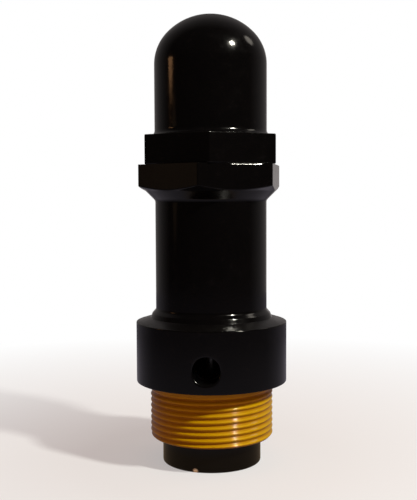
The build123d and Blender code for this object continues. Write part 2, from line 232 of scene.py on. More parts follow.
# Small faults in the paint, as (azimuth from the front, radius, height)
CHIP = (-15.0, 19.1, 0.5)
CHIP_SIZE = 1.3
NIBS = ((21.3, 26.5, 55.9), (19.0, 29.25, 54.9))
NIB_SIZE = 0.5
SPOT_CORE = 0.45

# Camera as fitted to the photo's outline, in metres and degrees, with its lens in millimetres
LENS = 62.42
CAMERA_AZIMUTH = 4.0
CAMERA_DISTANCE = 0.33777
CAMERA_HEIGHT = 0.10338
CAMERA_YAW = 0.173
CAMERA_PITCH = 3.514
CAMERA_ROLL = -0.229

# Distance of the lamps, the height on the valve's axis that they look at, and the floor, in metres
LAMP_DISTANCE = 1.2
LAMP_AIM = 0.09
FLOOR_RADIUS = 0.6

# Kinds of node that come up often, and the settings of a mix of colours.
# A range takes a value, the two ends it moves between, and the two ends they are mapped on.
# A mix takes the share of the second colour as input 0, and its two colours as 6 and 7.
MATH = "ShaderNodeMath"
VECTOR = "ShaderNodeVectorMath"
RANGE = "ShaderNodeMapRange"
SPLIT = "ShaderNodeSeparateXYZ"
JOIN = "ShaderNodeCombineXYZ"
NOISE = "ShaderNodeTexNoise"
BUMP = "ShaderNodeBump"
MIX = "ShaderNodeMix"
COLOURS = {"out": 2, "data_type": "RGBA"}


# Colours and nodes

def linear(code):
    """Linear colour of an sRGB hex value."""
    channels = [int(code[i:i + 2], 16) / 255 for i in (1, 3, 5)]
    return (*[c / 12.92 if c <= 0.04045 else ((c + 0.055) / 1.055) ** 2.4 for c in channels], 1.0)


def add(tree, kind, inputs=(), out=0, **settings):
    """Adds a node with its settings, values and links, and returns one of its outputs.

    The inputs are a row from the first on, or named; a hex value is a colour.
    """
    made = tree.nodes.new(kind)
    for name, value in settings.items():
        setattr(made, name, value)
    for key, value in inputs.items() if isinstance(inputs, dict) else enumerate(inputs):
        if isinstance(value, bpy.types.NodeSocket):
            tree.links.new(value, made.inputs[key])
        else:
            made.inputs[key].default_value = linear(value) if str(value).startswith("#") else value
    return made.outputs[out] if made.outputs else None


def per_metre(size):
    """Scale of a pattern whose features measure about size millimetres."""
    return 1 / (size * MM)


def cleared(owner):
    """Turns an owner's nodes on, empties its tree, and returns the function that adds nodes to it."""
    owner.use_nodes = True
    owner.node_tree.nodes.clear()
    return partial(add, owner.node_tree)


# Materials

def near_spot(node, place, spot, size):
    """A value that is 1 at a spot on the paint and falls to 0 at size millimetres from it."""
    azimuth, radius, height = spot
    turn = math.radians(azimuth)
    centre = (radius * math.sin(turn) * MM, -radius * math.cos(turn) * MM, height * MM)
    gap = node(VECTOR, (place, centre), out="Value", operation="DISTANCE")
    return node(RANGE, (gap, SPOT_CORE * size * MM, size * MM, 1.0, 0.0))


def black_enamel():
    """Black gloss enamel sprayed on turned brass: deep black, with sharp glints on a faint orange peel.

    Handling dulls it in patches and dust dulls what looks up. It has grit, two nibs and one torn
    chip that shows pale. The grit is drawn coarser than it is, so that it shows.
    """
    material = bpy.data.materials.new("black_gloss_enamel_sprayed")
    node = cleared(material)
    place = node("ShaderNodeTexCoord", out="Object")
    cloud = node(NOISE, {"Vector": place, "Scale": per_metre(14.0), "Detail": 3.0})
    handled = node(NOISE, {"Vector": place, "Scale": per_metre(3.5), "Detail": 5.0, "Roughness": 0.6})
    black = node(MIX, {0: cloud, 6: "#040404", 7: "#080708"}, **COLOURS)
    rubbed = node(RANGE, (handled, 0.62, 0.8, 0.0, 0.35))
    black = node(MIX, {0: rubbed, 6: black, 7: "#1A181B"}, **COLOURS)
    torn = node(RANGE, (node(NOISE, {"Vector": place, "Scale": per_metre(0.9)}), 0.33, 0.45, 0.0, 1.0))
    chip = node(MATH, (near_spot(node, place, CHIP, CHIP_SIZE), torn), operation="MULTIPLY")
    colour = node(MIX, {0: chip, 6: black, 7: "#F4EADA"}, **COLOURS)

    upward = node(SPLIT, (node("ShaderNodeNewGeometry", out="Normal"),), out="Z")
    dust = node(RANGE, (upward, 0.75, 0.95, 0.0, 0.2))
    dulled = node(RANGE, (handled, 0.35, 0.75, 0.09, 0.19))
    roughness = node(MATH, (dulled, dust), operation="ADD")

    peel = node(NOISE, {"Vector": place, "Scale": per_metre(1.1), "Detail": 1.0})
    peeled = node(BUMP, {"Height": peel, "Distance": 0.010 * MM})
    nibs = node(MATH, [near_spot(node, place, spot, NIB_SIZE) for spot in NIBS], operation="ADD")
    grit = node("ShaderNodeTexVoronoi", {"Vector": place, "Scale": per_metre(5.5), "Randomness": 1.0})
    raised = node(MATH, (nibs, node(RANGE, (grit, 0.0, 0.04, 0.5, 0.0))), operation="ADD")
    normal = node(BUMP, {"Height": raised, "Distance": 0.035 * MM, "Normal": peeled})

    shader = node("ShaderNodeBsdfPrincipled", {
        "Base Color": colour, "Roughness": roughness, "IOR": 1.5, "Normal": normal})
    node("ShaderNodeOutputMaterial", {"Surface": shader})
    return material


def yellow_lacquer():
    """Yellow lacquer on the cut thread: warm, semi-gloss crests, and painted shade that browns the roots.

    Its grain is drawn coarser than it is, so that it shows. Painted shade darkens the spigot above the
    thread.
    """
    material = bpy.data.materials.new("yellow_thread_lacquer")
    node = cleared(material)
    place = node("ShaderNodeTexCoord", out="Object")
    apart = node(SPLIT, (place,)).node.outputs
    across = node(VECTOR, (node(JOIN, (apart[0], apart[1])),), out="Value", operation="LENGTH")
    # Painted shade: the colour turns browner towards the thread's roots
    root_shade = node(RANGE, (across, (THREAD - THREAD_DEPTH) * MM, (THREAD - 0.05) * MM, 1.0, 0.0))
    patch = node(NOISE, {"Vector": place, "Scale": per_metre(7.0), "Detail": 4.0, "Roughness": 0.6})
    crest = node(MIX, {0: patch, 6: "#CCA602", 7: "#BA9200"}, **COLOURS)
    lacquer = node(MIX, {0: root_shade, 6: crest, 7: "#A27300"}, **COLOURS)
    # Painted shade: dark above the collar, where the spigot shows inside the air holes
    hole_shade = node(RANGE, (apart[2], (COLLAR_BOTTOM - 0.1) * MM, COLLAR_BOTTOM * MM, 0.0, 1.0))
    colour = node(MIX, {0: hole_shade, 6: lacquer, 7: "#15110D"}, **COLOURS)
    grain = node(NOISE, {"Vector": place, "Scale": per_metre(0.5)})
    shader = node("ShaderNodeBsdfPrincipled", {
        "Base Color": colour, "Roughness": node(RANGE, (patch, 0.3, 0.7, 0.36, 0.46)), "IOR": 1.4,
        "Specular Tint": "#FFC060", "Coat Weight": 0.62, "Coat Roughness": 0.05,
        "Normal": node(BUMP, {"Height": grain, "Distance": 0.008 * MM})})
    node("ShaderNodeOutputMaterial", {"Surface": shader})
    return material


def turned_metal(name, light, dark, roughness, ring=0.35):
    """Bare turned metal: bright, drawn out round the axis by the tool's rings, with a faint stain.

    The real rings are too fine to show, so they are drawn coarser, each ring millimetres wide.
    """
    material = bpy.data.materials.new(name)
    node = cleared(material)
    place = node("ShaderNodeTexCoord", out="Object")
    stain = node(NOISE, {"Vector": place, "Scale": per_metre(6.0), "Detail": 4.0, "Roughness": 0.6})
    lines = node("ShaderNodeMapping", {"Vector": place, "Scale": (0.02, 0.02, 1.0)})
    rings = node(NOISE, {"Vector": lines, "Scale": per_metre(ring)})
    shader = node("ShaderNodeBsdfPrincipled", {
        "Base Color": node(MIX, {0: stain, 6: light, 7: dark}, **COLOURS), "Metallic": 1.0,
        "Roughness": node(RANGE, (stain, 0.3, 0.7, roughness - 0.06, roughness + 0.08)),
        "Normal": node(BUMP, {"Height": rings, "Distance": 0.01 * MM})})
    node("ShaderNodeOutputMaterial", {"Surface": shader})
    return material


def nitrile():
    """Moulded nitrile rubber: soft black with a faint bloom, and grain drawn coarser so that it shows."""
    material = bpy.data.materials.new("nitrile_rubber_moulded")
    node = cleared(material)
    place = node("ShaderNodeTexCoord", out="Object")
    bloom = node(NOISE, {"Vector": place, "Scale": per_metre(2.5), "Detail": 4.0})
    grain = node(NOISE, {"Vector": place, "Scale": per_metre(0.3)})
    shader = node("ShaderNodeBsdfPrincipled", {
        "Base Color": node(MIX, {0: bloom, 6: "#141414", 7: "#202021"}, **COLOURS),
        "Roughness": node(RANGE, (bloom, 0.3, 0.7, 0.52, 0.68)),
        "Normal": node(BUMP, {"Height": grain, "Distance": 0.008 * MM})})
    node("ShaderNodeOutputMaterial", {"Surface": shader})
    return material


FINISH = {
    "black_paint": black_enamel(),
    "yellow_finish": yellow_lacquer(),
    "brass": turned_metal("brass_turned", "#C9A45C", "#AF8743", roughness=0.26),
    "bronze": turned_metal("bronze_sintered_turned", "#B07F4E", "#8E6239", roughness=0.36),
    "spring_steel": turned_metal("spring_steel_oiled", "#6F6D6B", "#55524F", roughness=0.34, ring=0.8),
    "stainless_steel": turned_metal("stainless_steel_turned", "#C4C3C1", "#A9A8A6", roughness=0.22),
    "plated_steel": turned_metal("zinc_plated_steel", "#BFC0BC", "#A3A5A2", roughness=0.3, ring=0.6),
    "nitrile": nitrile(),
}


# Outlines, as points (radius, height)

def softened(corners, steps=4):
    """Rounds the corners (r, z, edge radius) of an outline; a point at either side holds each arc."""
    hold, hold_share, widest_share = 0.3, 0.2, 0.42
    outline = [corners[0][:2]]
    for before, corner, after in zip(corners, corners[1:], corners[2:]):
        radius = corner[2] if len(corner) > 2 else 0.0
        if not radius:
            outline.append(corner[:2])
            continue
        ways = [(end[0] - corner[0], end[1] - corner[1]) for end in (before, after)]
        spans = [math.hypot(*way) for way in ways]
        ways = [(way[0] / span, way[1] / span) for way, span in zip(ways, spans)]
        cosine = ways[0][0] * ways[1][0] + ways[0][1] * ways[1][1]
        turn = math.pi - math.acos(max(-1.0, min(1.0, cosine)))
        reach = min(radius * math.tan(turn / 2), widest_share * min(spans))
        stretches = [(reach + min(hold, hold_share * (spans[0] - reach)), 0.0)]
        stretches += [((1 - i / steps) ** 2 * reach, (i / steps) ** 2 * reach) for i in range(steps + 1)]
        stretches.append((0.0, reach + min(hold, hold_share * (spans[1] - reach))))
        for back, on in stretches:
            outline.append(tuple(corner[i] + ways[0][i] * back + ways[1][i] * on for i in (0, 1)))
    outline.append(corners[-1][:2])
    return outline


def softened_ring(corners, steps=4):
    """A closed outline with rounded corners, which starts on a straight stretch."""
    return softened([*corners, corners[0]], steps)[:-1]


def wall(radius, start, end, rows):
    """Plain points up or down a straight wall."""
    return [(radius, start + (end - start) * i / rows) for i in range(rows + 1)]


def arc(centre, radius, start, end, steps):
    """Points on an arc in the outline's plane, angles in degrees."""
    turns = [math.radians(start + (end - start) * i / steps) for i in range(steps + 1)]
    return [(centre[0] + radius * math.cos(turn), centre[1] + radius * math.sin(turn)) for turn in turns]


def nearer(one, other, width):
    """Lower of two values, with a rounded change between them."""
    reach = max(width - abs(one - other), 0.0) / width
    return min(one, other) - reach * reach * width / 4


def farther(one, other, width):
    """Higher of two values, with the same rounded change."""
    return -nearer(-one, -other, width)


def hexagon_radius(angle, flats, turn):
    """Radius of a hexagon whose corner faces the front before it is turned, with softened corners."""
    sharpness = 260
    total = 0.0
    for i in range(6):
        face = math.radians(turn - 60 + 60 * i)
        total += max(0.0, math.cos(angle - face)) ** sharpness
    return flats / 2 / total ** (1 / sharpness)


# Meshes

def columns(count, hexagon_turn=None):
    """Angles round a piece, closer together at the corners of its hexagon."""
    angles = {round(2 * math.pi * i / count, 6) for i in range(count)}
    closer = (0.0, 0.2, 0.4, 0.6, 0.9, 1.2, 1.6)
    for corner in range(6 if hexagon_turn is not None else 0):
        middle = math.radians(hexagon_turn - 90 + 60 * corner)
        for step in (*closer, *[-s for s in closer]):
            angles.add(round((middle + math.radians(step)) % (2 * math.pi), 6))
    least = 0.0012
    kept = []
    for angle in sorted(angles):
        if not kept or angle - kept[-1] > least:
            kept.append(angle)
    return kept


def round_axis(shape, outline, angle):
    """One column of points, the outline turned to an angle round the axis."""
    ahead, aside = math.cos(angle), math.sin(angle)
    return [shape.verts.new((r * ahead * MM, r * aside * MM, z * MM)) for r, z in outline]


def grid(angles, outline, closed=True, seam=None):
    """A mesh of columns round the axis; outline(angle) gives the points of each.

    A seam shifts the rows where the last column meets the first.
    """
    shape = bmesh.new()
    rows = [round_axis(shape, outline(angle), angle) for angle in angles]
    count = len(rows[0])
    for i, column in enumerate(rows):
        beside = rows[(i + 1) % len(rows)]
        last = i + 1 == len(rows)
        for low in range(count if closed else count - 1):
            high = (low + 1) % count
            far_low, far_high = (seam(low), seam(high)) if seam and last else (low, high)
            corners = []
            for vert in (column[low], beside[far_low], beside[far_high], column[high]):
                if vert not in corners:
                    corners.append(vert)
            if len(corners) > 2:
                shape.faces.new(corners)
    bmesh.ops.remove_doubles(shape, verts=shape.verts, dist=SAME * MM)
    bmesh.ops.dissolve_degenerate(shape, dist=SAME * MM, edges=shape.edges)
    return shape


def swept(shape, rows):
    """Joins rows of points into a closed bar with a flat face at either end."""
    for row, beside in zip(rows, rows[1:]):
        for here in range(len(row)):
            after = (here + 1) % len(row)
            shape.faces.new((row[here], beside[here], beside[after], row[after]))
    shape.faces.new(rows[0])
    shape.faces.new(rows[-1])
    return shape


def drill(shape, direction, walls):
    """Cuts a radial hole with softened lips through a wall, given as its (outer radius, inner radius)."""
    turn = math.radians(direction)
    ahead, aside = (math.cos(turn), math.sin(turn)), (-math.sin(turn), math.cos(turn))
    slack, straight = 0.01, 0.5

    def spot(across, up, along):
        """A place given from the hole's middle line, in the mesh's own terms."""
        x, y = [ahead[way] * along + aside[way] * across for way in (0, 1)]
        return x * MM, y * MM, (HOLE_HEIGHT + up) * MM

    def seen(vert):
        """A point of the mesh as it lies across, up and along the hole."""
        x, y, z = [c / MM for c in vert.co]
        return x * aside[0] + y * aside[1], z - HOLE_HEIGHT, x * ahead[0] + y * ahead[1]

    def in_window(face, radius):
        """Whether a face lies on the wall, within the square that the hole is cut from."""
        spots = [seen(vert) for vert in face.verts]
        at_radius = [abs(math.hypot(x, along) - radius) < slack and along > 0 for x, up, along in spots]
        in_square = [abs(x) < HOLE_WINDOW and abs(up) < HOLE_WINDOW + slack for x, up, along in spots]
        return all(at_radius) and all(in_square)

    ends = []
    for radius, lip, inward in zip(walls, HOLE_LIPS, (1, -1)):
        inside = [face for face in shape.faces if in_window(face, radius)]
        points = {vert for face in inside for vert in face.verts}
        around = [vert for vert in points if any(face not in inside for face in vert.link_faces)]
        ring = sorted(around, key=lambda vert: math.atan2(seen(vert)[1], seen(vert)[0]))
        places = [seen(vert)[:2] for vert in ring]
        bmesh.ops.delete(shape, geom=inside, context="FACES")
        rings = [ring]
        # Each ring's share of the way in from the square, its reach past the hole, and its depth
        stages = [(0.45, lip, 0.0), (0.8, lip, 0.0), (1.0, lip, 0.0), (1.0, lip * 0.42, lip * 0.12)]
        stages += [(1.0, lip * 0.12, lip * 0.42), (1.0, 0.0, lip), (1.0, 0.0, lip + straight)]
        for share, extra, depth in stages:
            made = []
            for across, up in places:
                angle = math.atan2(up, across)
                reach = HOLE_RADIUS + extra
                x = across + (reach * math.cos(angle) - across) * share
                z = up + (reach * math.sin(angle) - up) * share
                on_wall = math.sqrt(radius ** 2 - x ** 2)
                made.append(shape.verts.new(spot(x, z, on_wall - inward * depth)))
            rings.append(made)
        for first, second in zip(rings, rings[1:]):
            for here in range(len(first)):
                after = (here + 1) % len(first)
                shape.faces.new((first[here], first[after], second[after], second[here]))
        ends.append(rings[-1])
    edges = [shape.edges.get((end[i - 1], end[i])) for end in ends for i in range(len(end))]
    bmesh.ops.bridge_loops(shape, edges=edges)


def mesh_of(shape):
    """The finished mesh of an edited one, with its faces turned outwards."""
    bmesh.ops.recalc_face_normals(shape, faces=shape.faces)
    mesh = bpy.data.meshes.new("shape")
    shape.to_mesh(mesh)
    shape.free()
    return mesh


def linked(name, data):
    """A new object of these data in the scene."""
    made = bpy.data.objects.new(name, data)
    bpy.context.scene.collection.objects.link(made)
    return made


def piece(name, mesh, node, body, slot, smooth_below=32.0):
    """Makes a mesh a piece of the visual model; edges flatter than smooth_below degrees are smooth."""
    mesh.name = name
    mesh.shade_smooth()
    mesh.set_sharp_from_angle(angle=math.radians(smooth_below))
    mesh.materials.clear()
    mesh.materials.append(FINISH[slot])
    made = linked(name, mesh)
    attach(made, body)
    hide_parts(node)
    return made


def turned(name, corners, node, body, slot, count=96):
    """A turned piece with a bore, from the corners (r, z, edge radius) of its section.

    The first corner is a point on a straight stretch.
    """
    section = softened_ring(corners)
    return piece(name, mesh_of(grid(columns(count), lambda angle: section)), node, body, slot)


def ring_corners(inner, outer, bottom, top, edge=0.25):
    """Corners of a plain ring, from half-way up its bore."""
    return [
        (inner, (bottom + top) / 2), (inner, top, edge), (outer, top, edge), (outer, bottom, edge),
        (inner, bottom, edge),
    ]


# Body

def worn_lip(angle):
    """How far the hexagon's upper edge is worn round at an angle, from 0 to 1."""
    degrees = (math.degrees(angle) + 180) % 360 - 180
    inside = min(degrees - LIP_ENDS[0], LIP_ENDS[1] - degrees)
    return max(UNWORN, min(1.0, inside / LIP_RUN_OUT)) * (1 + LIP_WAVE * math.sin(LIP_WAVES * angle))


def under_hexagon(z, corner):
    """Radius at a height where cone, chamfer and flats meet under the hexagon."""
    chamfer = HEX_FLATS / 2 + (z - CONE_TOP) / UNDER_HEX_SLOPE
    cone = farther(NECK + z - HEX_BOTTOM, chamfer, width=0.4)
    return farther(NECK, nearer(cone, corner, width=0.5), width=0.6)


def body_outline(angle):
    """Section of the body at an angle: its outside upwards, then its inside downwards."""
    corner = hexagon_radius(angle, HEX_FLATS, HEX_TURN)
    worn = worn_lip(angle)
    low, high = HOLE_WINDOW_ENDS
    thread = CAP_THREAD + RUNNING_GAP
    lower = softened([
        (SPIGOT, COLLAR_BOTTOM), (COLLAR, COLLAR_BOTTOM, PAINT_EDGE), *wall(COLLAR, low, high, HOLE_ROWS),
        (COLLAR, COLLAR_TOP, COLLAR_RIM), (*SHOULDER_FOOT, 0.1), (*FLARE_EDGE, 0.9), (NECK, NECK_FOOT, 1.3),
        (NECK, NECK_MIDDLE), (NECK, CONE_FIRST_ROW - 0.3),
    ])
    heights = [CONE_FIRST_ROW + CONE_ROW_STEP * i for i in range(CONE_ROWS)]
    upper = softened([
        (corner, heights[-1] + 0.4), (corner, HEX_TOP - LIP_FALL * worn, 0.3 * worn),
        (corner - LIP_WIDTH * worn, HEX_TOP, 0.25 * worn), (RING_RECESS, HEX_TOP, 0.2),
        (RING_RECESS, RING_RECESS_FLOOR), (thread, RING_RECESS_FLOOR), (thread, CAP_THREAD_FOOT),
        (CHAMBER, CAP_THREAD_FOOT), (CHAMBER, WEB_TOP), (BUSH, WEB_TOP), (BUSH, WEB_BOTTOM),
        (SPIGOT, WEB_BOTTOM), *wall(SPIGOT, high, low, HOLE_ROWS), (SPIGOT, (low + COLLAR_BOTTOM) / 2),
    ])
    return lower + [(under_hexagon(z, corner), z) for z in heights] + upper


def make_body():
    shape = grid(columns(count=240, hexagon_turn=HEX_TURN), body_outline)
    for direction in HOLE_DIRECTIONS:
        drill(shape, direction, (COLLAR, SPIGOT))
    piece("painted_body", mesh_of(shape), "body", "housing", "black_paint")


# Screw threads

def thread_tree():
    """Geometry nodes that cut a screw thread into the points of one round wall, from Foot to Top."""
    tree = bpy.data.node_groups.new("screw_thread", "GeometryNodeTree")
    face = tree.interface
    face.new_socket("Geometry", in_out="INPUT", socket_type="NodeSocketGeometry")
    for name in ("Radius", "Depth", "Pitch", "Chamfer", "Foot", "Top", "Full at", "Gone at", "Sharpness"):
        face.new_socket(name, in_out="INPUT", socket_type="NodeSocketFloat")
    face.new_socket("Finish", in_out="INPUT", socket_type="NodeSocketMaterial")
    face.new_socket("Geometry", in_out="OUTPUT", socket_type="NodeSocketGeometry")
    node = partial(add, tree)
    given = node("NodeGroupInput").node.outputs
    near = 0.02 * MM

    # The points of the wall
    place = node(SPLIT, (node("GeometryNodeInputPosition"),)).node.outputs
    flat = node(JOIN, (place[0], place[1]))
    across = node(VECTOR, (flat,), out="Value", operation="LENGTH")
    rise = node(MATH, (place[2], given["Foot"]), operation="SUBTRACT")
    on_wall = node(MATH, (across, given["Radius"], near), operation="COMPARE")
    above = node(MATH, (rise, -near), operation="GREATER_THAN")
    end = node(MATH, (given["Top"], near), operation="ADD")
    below = node(MATH, (place[2], end), operation="LESS_THAN")
    between = node(MATH, (above, below), operation="MULTIPLY")
    chosen = node(MATH, (on_wall, between), operation="MULTIPLY")

    # How deep the groove is at each, and where the end's chamfer is deeper
    angle = node(MATH, (place[1], place[0]), operation="ARCTAN2")
    turns = node(MATH, (rise, given["Pitch"]), operation="DIVIDE")
    climb = node(MATH, (turns, 2 * math.pi), operation="MULTIPLY")
    phase = node(MATH, (climb, angle), operation="SUBTRACT")
    wave = node(MATH, (node(MATH, (phase,), operation="COSINE"), 0.5, 0.5), operation="MULTIPLY_ADD")
    fade = node(RANGE, (
        place[2], given["Full at"], given["Gone at"], 1.0, 0.0), interpolation_type="SMOOTHSTEP")
    form = node(MATH, (wave, given["Sharpness"]), operation="POWER")
    groove = node(MATH, (form, fade), operation="MULTIPLY")
    depth = node(MATH, (groove, given["Depth"]), operation="MULTIPLY")
    cut = node(MATH, (given["Radius"], depth), operation="SUBTRACT")
    tip = node(MATH, (given["Radius"], given["Chamfer"]), operation="SUBTRACT")
    lead_in = node(MATH, (tip, rise), operation="ADD")
    radius = node(MATH, (cut, lead_in), operation="MINIMUM")

    outward = node(VECTOR, (flat,), operation="NORMALIZE")
    ring = node(VECTOR, {0: outward, 3: radius}, operation="SCALE")
    moved = node(VECTOR, (ring, node(JOIN, {2: place[2]})), operation="ADD")
    shaped = node("GeometryNodeSetPosition", {
        "Geometry": given["Geometry"], "Selection": chosen, "Position": moved})
    real = node("GeometryNodeRealizeInstances", {"Geometry": shaped})
    coated = node("GeometryNodeSetMaterial", {"Geometry": real, "Material": given["Finish"]})
    node("NodeGroupOutput", {"Geometry": coated})
    return tree


def made_by_nodes(tree, settings, base=None):
    """The plain mesh that a node tree makes with these settings, from a base mesh if it takes one."""
    holder = linked(tree.name + "_holder", base or bpy.data.meshes.new(tree.name))
    modifier = holder.modifiers.new("make", "NODES")
    modifier.node_group = tree
    for item in tree.interface.items_tree:
        if item.in_out == "INPUT" and item.name in settings:
            modifier[item.identifier] = settings[item.name]
    graph = bpy.context.evaluated_depsgraph_get()
    mesh = bpy.data.meshes.new_from_object(holder.evaluated_get(graph))
    holder.modifiers.remove(modifier)
    bpy.data.objects.remove(holder)
    return mesh


THREAD_TREE = thread_tree()


def threaded(mesh, slot, sizes, sharpness=1.5):
    """Cuts one thread into a mesh; it runs out from Full at to Gone at."""
    settings = {name: value * MM for name, value in {"Chamfer": 0.0, **sizes}.items()}
    return made_by_nodes(THREAD_TREE, {**settings, "Sharpness": sharpness, "Finish": FINISH[slot]}, mesh)


# Cap

def cap_outline(angle):
    """Section of the cap at an angle: its inside downwards, then its outside up to the top."""
    corner = hexagon_radius(angle, CAP_FLATS, CAP_TURN)
    rim = corner - CAP_RIM_DRAW + CAP_RIM_WAVE * math.sin(CAP_RIM_WAVES * angle)
    neck = CAP_THREAD - RUNNING_GAP
    inside = softened([
        (0.0, CAP_ROOF[1]), (*CAP_ROOF, 1.0), (CHAMBER, CAP_BORE_TOP, 1.0), (CHAMBER, CAP_SPIGOT_BOTTOM, 0.3),
        (CAP_THREAD - CAP_SPIGOT_CHAMFER, CAP_SPIGOT_BOTTOM),
        *wall(CAP_THREAD, CAP_SPIGOT_BOTTOM + CAP_SPIGOT_CHAMFER, CAP_THREAD_END, rows=54),
        (neck, RING_RECESS_FLOOR), (neck, HEX_TOP),
    ])
    outside = softened([
        (CAP_HEX_FACE, HEX_TOP), (corner, HEX_TOP, PAINT_EDGE), (corner, CAP_HEX_TOP - CAP_RIM),
        (rim, CAP_HEX_TOP, 0.5), (CAP_SIDE + CAP_FILLET + 0.2, CAP_HEX_TOP),
    ])
    fillet_centre = (CAP_SIDE + CAP_FILLET, CAP_HEX_TOP + CAP_FILLET)
    crown_centre = TOP - CROWN
    corner_x = CAP_SIDE - DOME_CORNER
    corner_z = crown_centre + math.sqrt((CROWN - DOME_CORNER) ** 2 - corner_x ** 2)
    meet = math.degrees(math.atan2(corner_z - crown_centre, corner_x))
    return [
        *inside, *outside,
        *arc(fillet_centre, CAP_FILLET, -90, -180, steps=10),
        *wall(CAP_SIDE, fillet_centre[1] + 0.4, corner_z - 0.5, rows=6),
        *arc((corner_x, corner_z), DOME_CORNER, 0, meet, steps=24),
        *arc((0.0, crown_centre), CROWN, meet, 90, steps=18)[1:-1],
        (0.0, TOP),
    ]


def make_cap():
    """Domed cap with the screwed spigot that shows when it is off."""
    blank = mesh_of(grid(columns(count=240, hexagon_turn=CAP_TURN), cap_outline, closed=False))
    mesh = threaded(blank, "black_paint", {
        "Radius": CAP_THREAD, "Pitch": CAP_PITCH, "Depth": 0.75,
        "Foot": CAP_SPIGOT_BOTTOM + CAP_SPIGOT_CHAMFER, "Top": CAP_THREAD_END,
        "Full at": 111.6, "Gone at": 112.9})
    piece("domed_cap", mesh, "cap", "cap", "black_paint")


# Nipple

def make_nipple():
    """Nipple with its pipe thread, seat pocket and drilled spigot; the wall's rows climb with the thread."""
    low, high = HOLE_WINDOW_ENDS
    before = [(SEAT_OUTER, NIPPLE_END), (NIPPLE_FACE, NIPPLE_END)]
    after = [
        (SPIGOT, COLLAR_BOTTOM), *wall(SPIGOT, low, high, HOLE_ROWS), (SPIGOT, SPIGOT_TOP - SPIGOT_CHAMFER),
        (SPIGOT - SPIGOT_CHAMFER, SPIGOT_TOP), (GALLERY, SPIGOT_TOP), *wall(GALLERY, high, low, HOLE_ROWS),
        (SEAT_BORE, GALLERY_TAPER_FOOT), (SEAT_BORE, SEAT_TOP), (SEAT_OUTER, SEAT_TOP),
    ]
    turns = math.ceil((COLLAR_BOTTOM - NIPPLE_END) / THREAD_PITCH) + 1
    rows = turns * ROWS_PER_TURN
    first = len(before)

    def outline(angle):
        """Section of the nipple at an angle, the rows of its wall shifted by the turn so far."""
        started = angle / (2 * math.pi) - 1
        climb = [NIPPLE_END + THREAD_PITCH * (row / ROWS_PER_TURN + started) for row in range(rows + 1)]
        return before + [(THREAD, min(max(z, NIPPLE_END), COLLAR_BOTTOM)) for z in climb] + after

    def seam(row):
        """The row that a row of the last column meets in the first, one turn on."""
        return min(row + ROWS_PER_TURN, first + rows) if first <= row <= first + rows else row

    shape = grid(columns(count=180), outline, seam=seam)
    for direction in HOLE_DIRECTIONS:
        drill(shape, direction, (SPIGOT, GALLERY))
    mesh = threaded(mesh_of(shape), "yellow_finish", {
        "Radius": THREAD, "Pitch": THREAD_PITCH, "Depth": THREAD_DEPTH, "Foot": NIPPLE_END,
        "Top": COLLAR_BOTTOM, "Full at": THREAD_FULL_AT, "Gone at": THREAD_GONE_AT,
        "Chamfer": THREAD_CHAMFER}, THREAD_SHARPNESS)
    piece("threaded_nipple", mesh, "nipple", "housing", "yellow_finish", smooth_below=60.0)


# Head, seat and seal

def make_head():
    """Cup-shaped head: the seal's pocket above, and the nut's recess below."""
    turned("poppet_head", [
        (STEM_END, 6.5), (STEM_END, HEAD_RECESS_ROOF), (HEAD_RECESS, HEAD_RECESS_ROOF, 0.5),
        (HEAD_RECESS, 0.0, 0.5), (HEAD, 0.0, 0.75), (HEAD, HEAD_TOP, 0.45), (SEAL, HEAD_TOP, 0.15),
        (SEAL, SEAL_BOTTOM), (STEM_END, SEAL_BOTTOM),
    ], "valve_head", "poppet", "black_paint", count=180)


def make_seat():
    """Brass seat with a narrow land that all but touches the closed seal."""
    inner, outer = SEAT_LAND
    land = HEAD_TOP + SEAL_GAP
    turned("seat_ring", [
        (SEAT_BORE, 13.0), (SEAT_BORE, NIPPLE_END, 0.1), (inner, land, 0.1), (outer, land, 0.1),
        (outer + SEAT_LAND_BEVEL, NIPPLE_END), (SEAT_OUTER, NIPPLE_END), (SEAT_OUTER, SEAT_TOP),
        (SEAT_BORE, SEAT_TOP, 0.5),
    ], "valve_seat", "housing", "brass", count=128)


def make_seal():
    """Nitrile disc, with the shallow line that the seat's land presses into it."""
    middle = sum(SEAT_LAND) / 2
    turned("rubber_seal_disc", [
        (STEM_END, 9.0), (STEM_END, HEAD_TOP, 0.1), (middle - SEAL_DENT_REACH, HEAD_TOP, 0.2),
        (middle, HEAD_TOP - SEAL_DENT, 0.3), (middle + SEAL_DENT_REACH, HEAD_TOP, 0.2),
        (SEAL, HEAD_TOP, 0.3), (SEAL, SEAL_BOTTOM, 0.2), (STEM_END, SEAL_BOTTOM, 0.1),
    ], "seal_disc", "poppet", "nitrile", count=128)


def make_seal_plate():
    turned("seal_clamp_plate", [
        (STEM_END, 11.0), (STEM_END, HEAD_TOP), (SEAL_PLATE, HEAD_TOP, 0.15),
        (SEAL_PLATE, SEAL_PLATE_TOP - SEAL_PLATE_BEVEL, 0.2),
        (SEAL_PLATE - SEAL_PLATE_BEVEL, SEAL_PLATE_TOP, 0.3), (STEM_END, SEAL_PLATE_TOP, 0.1),
    ], "seal_plate", "poppet", "stainless_steel")


# Stem, and what is on it

